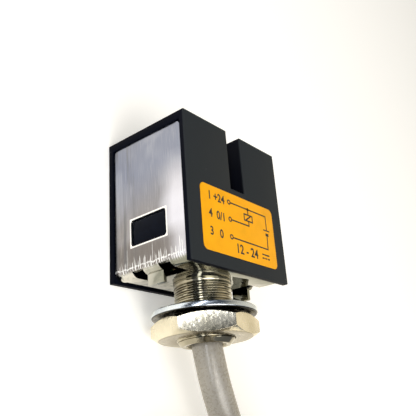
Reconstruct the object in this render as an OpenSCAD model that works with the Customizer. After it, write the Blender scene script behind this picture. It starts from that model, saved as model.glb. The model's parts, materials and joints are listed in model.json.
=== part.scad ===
// Fork-type photoelectric sensor with a threaded cable stem and a pre-wired cable.
// It lies on its side: X runs from the front plate to the rear plate, Y from the stem
// to the mouth of the slot, and Z from the table up to the labelled side. Millimetres.

/* [Housing] */
// Depth, from the front plate to the rear plate
body_depth = 31; // [30:0.5:36]
// Height, along the stem's axis
body_height = 31; // [29:0.5:36]
// Width, from one side wall to the other
body_width = 22; // [22:0.5:28]
// Thickness of the two side walls
side_wall = 1.3; // [1.0:0.1:1.6]
// Thickness of the wall at the tips of the legs
tip_wall = 1.8; // [1.4:0.1:2.4]
// Thickness of the walls round the slot
slot_wall = 1.2; // [1.0:0.1:1.4]
// Width of the slot
slot_width = 4.6; // [4.2:0.1:6]
// Depth of the slot
slot_depth = 13.5; // [11:0.5:14]
// Distance of the slot's middle plane behind the housing's middle plane
slot_offset = 0.3; // [0:0.1:0.6]
// Distance of the light beam from the tips of the legs
beam_depth = 6.5; // [5.5:0.5:8]

/* [Bracket] */
// Thickness of the sheet
sheet = 0.8; // [0.6:0.1:1.0]
// Outside radius of the two bends
bend_radius = 2; // [1.6:0.1:2.4]
// How far the sheet lies behind the housing's edges
recess = 0.3; // [0.2:0.1:0.5]
// Width of the front window
window_width = 9.6; // [8:0.2:11]
// Height of the front window
window_height = 5.5; // [4:0.1:6]
// Distance of the window's middle from the stem end of the housing
window_mid = 9.1; // [8.6:0.1:10]
// Width of the cut-out behind each tab
cutout_width = 10; // [8:0.5:11]
// Width of each bent tab
tab_width = 4.2; // [3:0.2:5]
// How far each tab stands out past the housing
tab_reach = 1.9; // [1:0.1:2.4]

/* [Stem] */
// Major diameter of the stem's thread
thread_diameter = 12; // [11.9:0.05:12]
// How far the stem stands out past the housing
stem_length = 12.5; // [12:0.5:16]
// Diameter of the stem's bore
stem_bore = 7.8; // [7.4:0.1:8.2]

/* [Nut and washer] */
// Width of the nut across its flats
nut_flats = 19; // [18:0.5:19]
// Thickness of the nut
nut_thickness = 4; // [3.5:0.1:4]
// Distance of the nut's upper face from the housing
nut_place = 7.3; // [7.3:0.1:7.5]
// Turn of the nut about the stem
nut_turn = 12.5; // [0:0.5:25]
// Outside diameter of the washer
washer_diameter = 21.6; // [20:0.2:21.8]
// Thickness of the washer
washer_thickness = 1.3; // [1:0.1:1.3]

/* [Label] */
// Length of the label, along the housing's depth
label_length = 24; // [20:0.5:26]
// Height of the label, along the stem's axis
label_height = 13.6; // [11:0.2:13.8]

/* [Cable] */
// Diameter of the cable's jacket
cable_diameter = 6.2; // [6.2:0.05:6.25]

/* [Hidden] */
$fn = 96;

eps = 0.01;
gap = 0.05;
base_y = (stem_length - body_height) / 2;      // the housing's stem end
mid_z = body_width / 2;                        // the stem's axis above the table
half_depth = body_depth / 2;
slot_front = slot_offset - slot_width / 2;
slot_rear = slot_offset + slot_width / 2;
slot_floor = body_height - slot_depth;
beam_y = body_height - beam_depth;
sheet_out = half_depth - recess;               // outer faces of the bracket's arms
sheet_in = sheet_out - sheet;
stem_radius = thread_diameter / 2;
cable_radius = cable_diameter / 2;
washer_gap = 0.4;                              // between the washer and the nut

// Circuit board
board_z = 6;
board_thick = 1;
board_top = board_z + board_thick;
board_half = 13.2;
board_low = 5;
board_high = 28.4;
post_radius = 1.2;
peg_radius = 0.6;
posts = [[-11.8, 6.6], [11.8, 6.6], [-11.8, 26.6], [11.8, 26.6]];

// Optics
led_radius = 1.5;
lens_radius = 1.95;
lens_flange = 2.6;
flange_thick = 0.8;

// Cores of the cable, from the jacket's end to their pads on the board
core_radius = 0.6;
core_spread = 0.7;
jacket_end = 4.2;
pad_y = 8.9;
pad_pitch = 2.4;

// Route of the free cable: out of the stem, down to the table and round to the hank
cable_route = [[0, -20.2, 11], [0, -20.8, 11], [0.3, -22.2, 11], [0.7, -24.1, 10.9],
               [1.5, -26.7, 10.8], [2.5, -29.4, 10.6], [3.8, -32.1, 10.3], [5.5, -34.8, 9.9],
               [7.7, -38, 9.2], [10.2, -41.5, 8.1], [12.8, -45, 6.9], [15.3, -48.5, 5.7],
               [17.7, -52, 4.6], [20.2, -56, 3.7], [22.3, -60, 3.2], [23.9, -64, 3.1],
               [24.8, -68, 3.1], [25, -71, 3.1], [25, -72, 3.1]];
entry_y = cable_route[0][1];
join_y = cable_route[len(cable_route) - 1][1];

// Hank: a flat racetrack of turns, two side by side and five high
hank_near = -79.3;                             // centre of the loop nearest the stem
hank_run = 33.1;                               // length of the straight runs
hank_far = hank_near - hank_run;
turn_inner = 18.6;
turn_outer = 25;
layer_step = 6.25;
hank_layers = 5;
hank_in = turn_inner - cable_radius;
hank_out = turn_outer + cable_radius;
hank_top = 2 * cable_radius + (hank_layers - 1) * layer_step;
top_floor = hank_top - layer_step;
tie_thick = 0.8;
tie_width = 3.6;
tie_y = (hank_near + hank_far) / 2;

// Flying leads, on the hank's top layer
lead_radius = 0.65;
lead_pitch = 1.8;
lead_low = top_floor + lead_radius;
lead_route = [[0, 0, 28], [0, 0.8, 28], [0.3, 3, 27.7], [0.8, 7, 26.4], [1, 11, lead_low],
              [1, 20, lead_low], [1, 32, lead_low]];
lead_start = 0.8;                              // half the spread where the jacket ends
bare_length = 5;
bare_radius = 0.45;

// Moves its children into the housing's frame, whose stem end is at Y = 0
module at_housing() { translate([0, base_y, 0]) children(); }

// Turns an upright shape so that its Z axis runs along +Y, on the stem's axis
module along_stem(y) { translate([0, y, mid_z]) rotate([-90, 0, 0]) children(); }

// Turns an upright shape so that its Z axis runs along +X, at the given place
module along_depth(x, y, z) { translate([x, y, z]) rotate([0, 90, 0]) children(); }

// A block given by its lowest and highest corners
module block(low, high) { translate(low) cube(high - low); }

// A rectangle with rounded corners, from the origin
module rounded(size, r) {
    translate([r, 0]) square([size[0] - 2 * r, size[1]]);
    translate([0, r]) square([size[0], size[1] - 2 * r]);
    for (x = [r, size[0] - r]) for (y = [r, size[1] - r]) translate([x, y]) circle(r);
}

function unit(v) = v / norm(v);

// Direction of a route at point i
function heading(route, i) =
    unit(route[min(i + 1, len(route) - 1)] - route[max(i - 1, 0)]);

// Point k of n on the ring round point i of a route that runs mostly along Y
function ring_point(route, i, radius, k, n) =
    let (ahead = heading(route, i), side = unit(cross(ahead, [0, 0, 1])),
         over = cross(side, ahead), a = 360 * k / n)
    route[i] + radius * (cos(a) * side + sin(a) * over);

// A tube with flat ends, swept along a route with one ring at each of its points
module tube(route, radius, sides) {
    count = len(route);
    points = [for (i = [0:count - 1]) for (k = [0:sides - 1])
              ring_point(route, i, radius, k, sides)];
    walls = [for (i = [0:count - 2]) for (k = [0:sides - 1])
             [i * sides + k, i * sides + (k + 1) % sides,
              (i + 1) * sides + (k + 1) % sides, (i + 1) * sides + k]];
    near_end = [[for (k = [sides - 1:-1:0]) k]];
    far_end = [[for (k = [0:sides - 1]) (count - 1) * sides + k]];
    polyhedron(points, concat(walls, near_end, far_end), convexity = 4);
}

// ---- Housing and bracket ----

// Space inside the housing, open towards the stem, the front and the rear
module housing_cavity() {
    z0 = side_wall;
    z1 = body_width - side_wall;
    reach = half_depth + 1;
    block([-reach, -1, z0], [reach, slot_floor - slot_wall, z1]);
    block([-reach, -1, z0], [slot_front - slot_wall, body_height - tip_wall, z1]);
    block([slot_rear + slot_wall, -1, z0], [reach, body_height - tip_wall, z1]);
}

// Posts that carry the circuit board, each with a locating peg
module board_posts() {
    for (p = posts) translate([p[0], p[1], side_wall - eps]) {
        cylinder(h = board_z - side_wall + eps, r = post_radius);
        cylinder(h = board_top + 0.6 - side_wall, r = peg_radius);
    }
}

module housing() {
    color("#2b2d2e") at_housing() {
        difference() {
            block([-half_depth, 0, 0], [half_depth, body_height, body_width]);
            housing_cavity();
            block([slot_front, slot_floor, -1], [slot_rear, body_height + 1, body_width + 1]);
            along_depth(-half_depth / 2, beam_y, mid_z)
                cylinder(h = half_depth, r = lens_radius + gap);
        }
        board_posts();
    }
}

// Outline of a U with rounded lower corners, in the XY plane
module u_outline(half, low, high, radius) {
    translate([-half, low + radius]) square([2 * half, high - low - radius]);
    translate([radius - half, low]) square([2 * (half - radius), radius + eps]);
    for (side = [-1, 1]) translate([side * (half - radius), low + radius]) circle(radius);
}

// Rounds the upper corners of both arms
module arm_corner(z, towards) {
    r = 1.5;
    top = body_height - tip_wall - gap;
    difference() {
        block([-half_depth, top - r, min(z, z + towards * r)],
              [half_depth, top + 1, max(z, z + towards * r)]);
        along_depth(-half_depth - 1, top - r, z + towards * r)
            cylinder(h = body_depth + 2, r = r);
    }
}

module bracket() {
    z0 = side_wall + gap;
    z1 = body_width - side_wall - gap;
    arm_top = body_height - tip_wall - gap;
    tab_face = 13.6;
    color("#d6d5cf") at_housing() difference() {
        union() {
            translate([0, 0, z0]) linear_extrude(z1 - z0) difference() {
                u_outline(sheet_out, recess, arm_top, bend_radius);
                u_outline(sheet_in, recess + sheet, arm_top + 1, bend_radius - sheet);
            }
            for (side = [-1, 1]) block(
                [side * (tab_face - sheet / 2) - sheet / 2, -tab_reach, mid_z - tab_width / 2],
                [side * (tab_face - sheet / 2) + sheet / 2, recess + sheet, mid_z + tab_width / 2]);
        }
        arm_corner(z0 - eps, 1);
        arm_corner(z1 + eps, -1);
        translate([-half_depth, window_mid - window_height / 2, mid_z + window_width / 2])
            rotate([0, 90, 0]) linear_extrude(recess + sheet + 1)
                rounded([window_width, window_height], 0.6);
        along_stem(0) cylinder(h = 3, r = stem_radius + gap);
        for (side = [-1, 1]) tab_cutout(side, tab_face);
    }
}

// The opening that the tab was bent out of, with a notch on each side of its root
module tab_cutout(side, tab_face) {
    outer = half_depth;
    inner = 9.6;
    behind = tab_face - sheet;
    tall = 1.4;
    half = cutout_width / 2;
    block([min(side * behind, side * inner), recess - 1, mid_z - half],
          [max(side * behind, side * inner), tall, mid_z + half]);
    for (z = [mid_z - half, mid_z + tab_width / 2])
        block([min(side * outer, side * inner), recess - 1, z],
              [max(side * outer, side * inner), tall, z + half - tab_width / 2]);
}

module indicator_window() {
    flange = 1.1;
    pane = 0.25;
    color("#10161f") at_housing() {
        block([-sheet_in, window_mid - window_height / 2 - flange,
               mid_z - window_width / 2 - flange],
              [-sheet_in + 1, window_mid + window_height / 2 + flange,
               mid_z + window_width / 2 + flange]);
        block([-sheet_in - sheet / 2, window_mid - window_height / 2 + pane,
               mid_z - window_width / 2 + pane],
              [-sheet_in + eps, window_mid + window_height / 2 - pane,
               mid_z + window_width / 2 - pane]);
    }
}

module label() {
    low = 2.6;
    thick = 0.12;
    color("#f6a81c") at_housing() translate([-label_length / 2, low, body_width])
        linear_extrude(thick) rounded([label_length, label_height], 1.2);
}

// ---- Stem, nut and washer ----

// Hexagonal prism along +Z, with the corners of both ends chamfered at 30 degrees
module hexagon(flats, height, turn) {
    outer = flats / sqrt(3) + 0.1;
    face = flats / 2 - 0.1;
    drop = (outer - face) * tan(30);
    intersection() {
        rotate([0, 0, turn]) cylinder(h = height, r = flats / sqrt(3), $fn = 6);
        rotate_extrude() polygon([[0, 0], [face, 0], [outer, drop], [outer, height - drop],
                                  [face, height], [0, height]]);
    }
}

module stem() {
    inner_end = 3.6;
    nose = 1.2;
    color("#c9c7bf") at_housing() along_stem(0) rotate_extrude() polygon([
        [stem_bore / 2, -stem_length], [4.9, -stem_length],
        [stem_radius, -stem_length + nose], [stem_radius, inner_end],
        [stem_bore / 2, inner_end]]);
}

module stem_locknut() {
    color("#b9b6ad") at_housing() along_stem(recess + sheet) difference() {
        hexagon(16, 2, 0);
        translate([0, 0, -1]) cylinder(h = 4, r = stem_radius + 0.02);
    }
}

module flat_washer() {
    hole = 6.25;
    color("#c4c9cf") at_housing() along_stem(washer_gap - nut_place) difference() {
        cylinder(h = washer_thickness, r = washer_diameter / 2);
        translate([0, 0, -1]) cylinder(h = washer_thickness + 2, r = hole);
    }
}

module hex_nut() {
    color("#cfc9b8") at_housing() along_stem(-nut_place - nut_thickness) difference() {
        hexagon(nut_flats, nut_thickness, nut_turn);
        translate([0, 0, -1]) cylinder(h = nut_thickness + 2, r = stem_radius + gap);
    }
}

// ---- Cable inside the stem ----

module potting_sleeve() {
    low = -9.5;
    high = 3;
    color("#1d1d1b") at_housing() along_stem(low) difference() {
        cylinder(h = high - low, r = stem_bore / 2 - 0.02);
        translate([0, 0, -1]) cylinder(h = high - low + 2, r = cable_radius + 0.02);
    }
}

module cable_entry() {
    color("#8f8c84") translate([0, entry_y, mid_z]) rotate([-90, 0, 0])
        cylinder(h = base_y + jacket_end - entry_y, r = cable_radius);
}

// One core from the jacket's end down to its pad, k places from the middle pad
module core(k) {
    x = k * core_spread;
    z = mid_z + abs(k) * 1.2 - 0.8;
    pad = k * pad_pitch;
    rest = board_top + core_radius + 0.02;
    steps = 8;
    fall = [for (i = [0:steps]) (1 - cos(180 * i / steps)) / 2];
    slope = [for (i = [0:steps]) [x + fall[i] * (pad - x),
        jacket_end + 0.3 + (pad_y - jacket_end - 0.8) * i / steps, z + fall[i] * (rest - z)]];
    tube(concat([[x, jacket_end, z]], slope, [[pad, pad_y, rest]]), core_radius, 8);
}

module core_brown() { color("#6b3f26") at_housing() core(-1); }
module core_black() { color("#1a1a1a") at_housing() core(0); }
module core_blue() { color("#2d55a0") at_housing() core(1); }

// ---- Electronics ----

module circuit_board() {
    color("#1f6b3c") at_housing() difference() {
        union() {
            block([-board_half, board_low, board_z],
                  [board_half, slot_floor - slot_wall - 0.5, board_top]);
            block([-board_half, board_low, board_z],
                  [slot_front - slot_wall - 0.5, board_high, board_top]);
            block([slot_rear + slot_wall + 0.5, board_low, board_z],
                  [board_half, board_high, board_top]);
        }
        for (p = posts) translate([p[0], p[1], board_z - 1])
            cylinder(h = board_thick + 2, r = peg_radius + gap);
    }
}

// A 3 mm lamp that shines along the depth, standing on the board on two bent wires
module lamp(tip, towards, y) {
    body = 3.4;
    wire = 0.25;
    back = tip - towards * (led_radius + body);
    bend = back - towards * 1.2;
    translate([tip - towards * led_radius, y, mid_z]) sphere(led_radius);
    along_depth(min(back, tip - towards * led_radius), y, mid_z)
        cylinder(h = body, r = led_radius);
    along_depth(min(back, back + towards * 0.8), y, mid_z)
        cylinder(h = 0.8, r = led_radius + 0.35);
    for (side = [-1, 1]) {
        along_depth(min(back, bend), y + side * 0.9, mid_z)
            cylinder(h = abs(bend - back) + wire, r = wire);
        translate([bend, y + side * 0.9, board_top]) cylinder(h = mid_z - board_top, r = wire);
    }
}

// A lens seated in a slot wall, with a flange behind the wall
module slot_lens(face, towards) {
    inner = face - towards * slot_wall;
    low = min(face - towards * 0.1, inner);
    along_depth(low, beam_y, mid_z) cylinder(h = slot_wall - 0.1, r = lens_radius);
    along_depth(min(inner, inner - towards * flange_thick), beam_y, mid_z)
        cylinder(h = flange_thick, r = lens_flange);
}

lamp_space = slot_wall + flange_thick + 0.2;
module emitter() { color("#b9c4d6") at_housing() lamp(slot_front - lamp_space, 1, beam_y); }
module receiver() { color("#262433") at_housing() lamp(slot_rear + lamp_space, -1, beam_y); }
module emitter_lens() { color("#2a0d14") at_housing() slot_lens(slot_front, 1); }
module receiver_lens() { color("#2a0d14") at_housing() slot_lens(slot_rear, -1); }

guide_front = -sheet_in + 1;
guide_length = 3.8;

module light_guide() {
    color("#e6e6df") at_housing() {
        along_depth(guide_front, window_mid, mid_z) cylinder(h = guide_length, r = 2);
        along_depth(guide_front + guide_length - flange_thick, window_mid, mid_z)
            cylinder(h = flange_thick, r = lens_flange);
    }
}

module indicator_led() {
    color("#d8342a") at_housing() lamp(guide_front + guide_length + 0.1, -1, window_mid);
}

// A surface-mounted package on the board, with legs on its two long sides
module package(x, y, size, legs, leg_reach) {
    step = size[0] / max(legs, 1);
    leg = 0.4;
    lift = 0.15;
    translate([x, y, board_top]) {
        block([-size[0] / 2, -size[1] / 2, lift], [size[0] / 2, size[1] / 2, size[2]]);
        for (side = [-1, 1]) for (k = [0:legs - 1])
            translate([(k + 0.5) * step - size[0] / 2, side * (size[1] / 2 + leg_reach / 2), 0])
                block([-leg / 2, -leg_reach / 2 - lift, 0], [leg / 2, leg_reach / 2 + lift, 0.3]);
    }
}

module regulator() { color("#202122") at_housing() package(8.2, 13.7, [4.5, 2.4, 1.5], 3, 0.6); }
module comparator() { color("#202122") at_housing() package(2.4, 12.5, [4.9, 3.9, 1.5], 4, 0.8); }

module output_transistor() {
    color("#202122") at_housing() package(-3.9, 13.6, [2.9, 1.4, 1.0], 2, 0.5);
}

module protection_diode() {
    color("#18191a") at_housing() package(-9.6, 13.4, [4.3, 2.6, 2.0], 1, 0.4);
}

module filter_capacitor() {
    r = 2.2;
    color("#2b3550") at_housing() translate([9, 8.8, board_top]) {
        cylinder(h = 0.3, r = r - 0.15);
        translate([0, 0, 0.3 - eps]) cylinder(h = 0.5, r = r);
        translate([0, 0, 0.8 - 2 * eps]) cylinder(h = 0.4, r = r - 0.15);
        translate([0, 0, 1.2 - 3 * eps]) cylinder(h = 4.2, r = r);
    }
}

module chip(x, y, height) {
    translate([x, y, board_top]) block([-0.8, -0.4, 0], [0.8, 0.4, height]);
}

module chip_resistors() {
    color("#22252a") at_housing() {
        for (k = [0:3]) chip(-6.2, 17 + 1.6 * k, 0.45);
        for (k = [0:3]) chip(6.6, 17 + 1.6 * k, 0.45);
        for (k = [0:1]) chip(-6.4, 5.9 + 1.5 * k, 0.45);
    }
}

module chip_capacitors() {
    color("#a98b5c") at_housing() {
        for (k = [0:2]) chip(-9.4, 17.6 + 1.8 * k, 0.8);
        for (k = [0:1]) chip(10, 17.6 + 1.8 * k, 0.8);
    }
}

// ---- Free cable ----

module cable() { color("#8f8c84") tube(cable_route, cable_radius, 10); }

// A racetrack outline about the hank's two loop centres
module racetrack(radius) {
    for (y = [hank_near, hank_far]) translate([0, y]) circle(radius);
    translate([-radius, hank_far]) square([2 * radius, hank_run]);
}

module cable_hank() {
    color("#8f8c84") difference() {
        linear_extrude(hank_top) difference() {
            racetrack(hank_out);
            racetrack(hank_in);
        }
        block([turn_inner + cable_radius, join_y, -1],
              [hank_out + 1, hank_near + hank_out, layer_step + 2 * gap]);
        block([turn_inner - 1.5, join_y + 3, -1],
              [hank_out + 1, hank_near + hank_out, layer_step + 0.6]);
        block([-turn_inner - cable_radius - gap, hank_far, top_floor],
              [-hank_in + 1, hank_near + 5, hank_top + 1]);
        for (side = [-1, 1]) block(
            [min(side * (hank_in - 1), side * (hank_out + 1)), tie_y - tie_width / 2, -1],
            [max(side * (hank_in - 1), side * (hank_out + 1)), tie_y + tie_width / 2, tie_thick]);
    }
}

// Two nylon ties, one round each side of the hank, each with its locking head on top
module hank_ties() {
    head = [5, 4.6, 3.4];
    low = hank_in - tie_thick;
    high = hank_out + tie_thick;
    color("#1c1c1c") for (side = [-1, 1]) {
        difference() {
            block([min(side * low, side * high), tie_y - tie_width / 2, 0],
                  [max(side * low, side * high), tie_y + tie_width / 2, hank_top + tie_thick]);
            block([min(side * hank_in, side * hank_out), tie_y - tie_width, tie_thick],
                  [max(side * hank_in, side * hank_out), tie_y + tie_width, hank_top]);
        }
        translate([side * (turn_outer - 1) - head[0] / 2, tie_y - head[1] / 2, hank_top + eps])
            cube(head);
    }
}

// Points of one flying lead, k places from the middle one
function lead_points(k) = [for (p = lead_route)
    [k * (lead_start + (lead_pitch - lead_start) * p[0]) - turn_inner, hank_far + p[1],
     p[2] + (1 - p[0]) * (abs(k) * 1.2 - lead_start)]];

module flying_lead(k) { tube(lead_points(k), lead_radius, 8); }

module lead_brown() { color("#6b3f26") flying_lead(-1); }
module lead_black() { color("#1a1a1a") flying_lead(0); }
module lead_blue() { color("#2d55a0") flying_lead(1); }

module lead_ends() {
    end = lead_route[len(lead_route) - 1];
    color("#c8c8c8") for (k = [-1:1])
        translate([k * lead_pitch - turn_inner, hank_far + end[1], lead_low])
            rotate([-90, 0, 0]) cylinder(h = bare_length, r = bare_radius, $fn = 24);
}

housing();
bracket();
indicator_window();
label();
stem();
stem_locknut();
flat_washer();
hex_nut();
potting_sleeve();
cable_entry();
circuit_board();
emitter();
receiver();
emitter_lens();
receiver_lens();
indicator_led();
light_guide();
regulator();
comparator();
output_transistor();
filter_capacitor();
protection_diode();
chip_resistors();
chip_capacitors();
core_brown();
core_black();
core_blue();
cable();
cable_hank();
hank_ties();
lead_brown();
lead_black();
lead_blue();
lead_ends();
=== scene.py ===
"""Visual model of a fork-type photoelectric sensor with a threaded stem and a coiled cable.

Every size is in millimetres until it becomes a vertex, when it is multiplied by MM.
"""

import json
import math

import bmesh
import bpy
from bpy.props import FloatProperty, FloatVectorProperty, IntProperty, PointerProperty
from mathutils import Matrix, Quaternion, Vector


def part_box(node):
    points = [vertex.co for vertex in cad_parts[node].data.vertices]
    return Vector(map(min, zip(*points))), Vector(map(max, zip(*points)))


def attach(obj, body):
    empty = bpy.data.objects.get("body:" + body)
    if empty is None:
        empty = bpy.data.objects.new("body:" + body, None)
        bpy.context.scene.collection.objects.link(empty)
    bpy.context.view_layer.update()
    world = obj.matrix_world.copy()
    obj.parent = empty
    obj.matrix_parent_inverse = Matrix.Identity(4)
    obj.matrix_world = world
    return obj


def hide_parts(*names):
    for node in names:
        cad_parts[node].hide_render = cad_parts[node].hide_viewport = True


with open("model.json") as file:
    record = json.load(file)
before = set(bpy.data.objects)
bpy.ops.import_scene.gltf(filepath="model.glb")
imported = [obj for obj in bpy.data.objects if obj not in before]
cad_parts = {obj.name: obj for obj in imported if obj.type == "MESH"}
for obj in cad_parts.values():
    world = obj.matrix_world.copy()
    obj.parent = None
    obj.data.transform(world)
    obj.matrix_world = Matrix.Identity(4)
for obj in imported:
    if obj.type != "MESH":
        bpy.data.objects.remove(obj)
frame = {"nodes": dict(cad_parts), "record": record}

bl_info = {
    "name": "Fork Sensor",
    "version": (1, 0, 0),
    "blender": (4, 5, 0),
    "location": "3D View > Sidebar > Sensor",
    "description": "Builds a slotted photoelectric sensor with its stem, nut, label and cable",
    "category": "Object",
}

MM = 0.001
TURN = 2 * math.pi
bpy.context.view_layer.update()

# Where the pieces lie, in the CAD model's frame
BASE_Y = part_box("housing")[0][1] / MM          # stem end of the housing
LABEL_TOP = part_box("label")[1][2] / MM
AXIS_Z = 11.0                                  # height of the stem's axis
STEM_LOW, STEM_HIGH = (corner[1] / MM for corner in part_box("stem"))
STEM_R = 6.0
WINDOW_Y = sum(corner[1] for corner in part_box("indicator_window")) / 2 / MM
WINDOW_HALF = (2.75, 4.8)                      # the opening's half height and half width

# Route of the free cable, as in the CAD model
CABLE_ROUTE = [
    (0, -20.2, 11), (0, -20.8, 11), (0.3, -22.2, 11), (0.7, -24.1, 10.9), (1.5, -26.7, 10.8),
    (2.5, -29.4, 10.6), (3.8, -32.1, 10.3), (5.5, -34.8, 9.9), (7.7, -38, 9.2),
    (10.2, -41.5, 8.1), (12.8, -45, 6.9), (15.3, -48.5, 5.7), (17.7, -52, 4.6),
    (20.2, -56, 3.7), (22.3, -60, 3.2), (23.9, -64, 3.1), (24.8, -68, 3.1), (25, -71, 3.1),
    (25, -72, 3.1),
]
CABLE_R = 3.1
CABLE_STEP = 1.6                               # spacing of the rings along the jacket
HANK_NEAR, HANK_FAR = -79.3, -112.4            # centres of the two end loops
TURN_IN, TURN_OUT = 18.6, 25.0                 # radii of the two columns of turns
LAYER = 6.25                                   # height of one layer of turns
# The turns in the order they are wound: column radius and layer
WINDING = [(TURN_OUT, 0), (TURN_IN, 0), (TURN_IN, 1), (TURN_OUT, 1), (TURN_OUT, 2),
           (TURN_IN, 2), (TURN_IN, 3), (TURN_OUT, 3), (TURN_OUT, 4), (TURN_IN, 4)]
STEP_SWELL = 2.75                              # how far a turn swings out as it climbs a layer
TIE_Y = (HANK_NEAR + HANK_FAR) / 2
TIE_THICK = 0.8
TIE_TOP = 34.5                                 # top of the ties' heads
LIFT_FLAT, LIFT_RAMP = 2.4, 11                 # where turns lie flat on a strap, and ease off it
LEAD_R, LEAD_PITCH = 0.65, 1.8
LEAD_BED = CABLE_R * 2 + LAYER * 3 + LEAD_R    # height of the leads' centre lines on the hank


# ---------------------------------------------------------------- colours and nodes

# Which setting a node's mode is, where its kind is given as "Math ADD" or "Mix RGBA"
MODES = {"Math": "operation", "VectorMath": "operation", "Mix": "data_type"}


def linear(code):
    """Turns an sRGB hex colour into Blender's linear one; a linear colour stays as it is."""
    if not isinstance(code, str):
        return tuple(code)
    parts = [int(code[i:i + 2], 16) / 255 for i in (1, 3, 5)]
    return tuple(c / 12.92 if c <= 0.04045 else ((c + 0.055) / 1.055) ** 2.4 for c in parts)


def shade(colour, factor):
    """A lighter or darker copy of a linear colour."""
    return tuple(min(1.0, factor * c) for c in colour)


def feed(node, values):
    """Sets or links a node's inputs, given by name or by place."""
    for name, value in values.items():
        socket = node.inputs[name]
        if isinstance(value, bpy.types.NodeSocket):
            node.id_data.links.new(value, socket)
        else:
            socket.default_value = (*linear(value), 1) if socket.type == "RGBA" else value


def adder(tree):
    """Returns the one function that adds a node to a tree and gives back its first output.

    Inputs come in order, or in a dict by name, and the rest are the node's settings.
    """
    def add(kind, *given, **settings):
        kind, _, mode = kind.partition(" ")
        whole = kind.startswith(("Geometry", "Function", "NodeGroup"))
        node = tree.nodes.new(kind if whole else "ShaderNode" + kind)
        if mode:
            settings[MODES[kind]] = mode
        for name, value in settings.items():
            setattr(node, name, value)
        in_use = [i for i, socket in enumerate(node.inputs) if socket.enabled]
        feed(node, given[0] if given and isinstance(given[0], dict) else dict(zip(in_use, given)))
        return next((socket for socket in node.outputs if socket.enabled), node)
    return add


def new_material(name, **values):
    """A material with an empty shader: returns it, its adder, its shader and its coordinates."""
    material = bpy.data.materials.new(name)
    material.use_nodes = True
    material.node_tree.nodes.clear()
    material.diffuse_color = (*linear(values["Base_Color"]), 1)
    add = adder(material.node_tree)
    surface = add("BsdfPrincipled", {key.replace("_", " "): v for key, v in values.items()})
    add("OutputMaterial", surface)
    return material, add, surface.node, add("TexCoord").node.outputs["Object"]


# ---------------------------------------------------------------- materials

def moulded_abs():
    """Black ABS from a finely etched mould: satin, with a soft grain and a little dust."""
    base = colours().housing
    material, add, shader, place = new_material(
        "Moulded ABS", Base_Color=base, Roughness=0.42, IOR=1.52, Specular_IOR_Level=0.02)
    # Etching of about 0.2 mm, drawn at 0.3 mm so that it shows
    grain = add("TexNoise", place, 3300, 3)
    cloud = add("TexNoise", place, 110, 4)
    dust = add("TexVoronoi", place, 420)
    rare = add("SeparateColor", dust.node.outputs["Color"])
    speck = add("Math MULTIPLY", add("MapRange", dust, 0.035, 0.02),
                add("MapRange", rare, 0.84, 0.85))
    body = add("Mix RGBA", add("MapRange", cloud, 0.3, 0.7), shade(base, 0.8), shade(base, 1.25))
    # Painted light: the label side, lit from above, is painted a little greyer than the rest
    z = add("SeparateXYZ", place).node.outputs["Z"]
    painted_bright_side = add("MapRange", z, (LABEL_TOP - 0.5) * MM, (LABEL_TOP - 0.2) * MM, 0.0, 0.75)
    body = add("Mix RGBA", painted_bright_side, body, "#34383a")
    feed(shader, {
        "Base Color": add("Mix RGBA", speck, body, "#8f8f8a"),
        "Roughness": add("MapRange", cloud, 0.25, 0.75, 0.36, 0.5),
        "Normal": add("Bump", {"Height": grain, "Strength": 0.12, "Distance": 0.00006})})
    return material


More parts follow.
